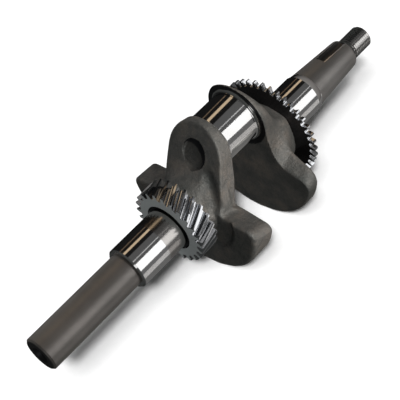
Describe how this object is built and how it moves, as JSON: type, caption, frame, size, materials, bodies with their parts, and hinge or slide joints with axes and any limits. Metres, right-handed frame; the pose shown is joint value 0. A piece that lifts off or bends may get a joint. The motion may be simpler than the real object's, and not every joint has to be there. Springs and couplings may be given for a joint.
{
  "type": "single-cylinder engine crankshaft",
  "caption": "Forged one-piece crankshaft with a straight PTO shaft, counterweighted webs, polished journals, pressed-on timing and governor gears, and a keyed flywheel taper.",
  "frame": {"origin": "on the main axis, halfway along the polished drive-side bearing seat", "axes": "+X along the main axis from the drive (PTO) end to the flywheel end, +Z from the main axis to the crankpin"},
  "size_m": [0.2682, 0.088, 0.0899],
  "materials": {
    "ground_steel": "dull ground, brownish grey",
    "polished_journal": "mirror polished steel",
    "seal_land_steel": "fine ground, satin",
    "forged_skin": "as forged, shot blasted and lightly oiled",
    "timing_gear_steel": "bright hobbed teeth, bluish grey sides",
    "governor_gear_steel": "black shiny sides, bright tooth edges",
    "thread_steel": "dark, rolled thread"
  },
  "bodies": {
    "root": {"pto_shaft": "ground_steel", "drive_main_journal": "polished_journal", "drive_seal_land": "seal_land_steel", "timing_gear_seat": "forged_skin", "timing_gear": "timing_gear_steel", "drive_web": "forged_skin", "drive_counterweight": "forged_skin", "crankpin": "polished_journal", "flywheel_web": "forged_skin", "flywheel_counterweight": "forged_skin", "governor_gear_seat": "forged_skin", "governor_gear": "governor_gear_steel", "flywheel_main_journal": "polished_journal", "flywheel_taper": "ground_steel", "flywheel_thread": "thread_steel"}
  },
  "joints": []
}
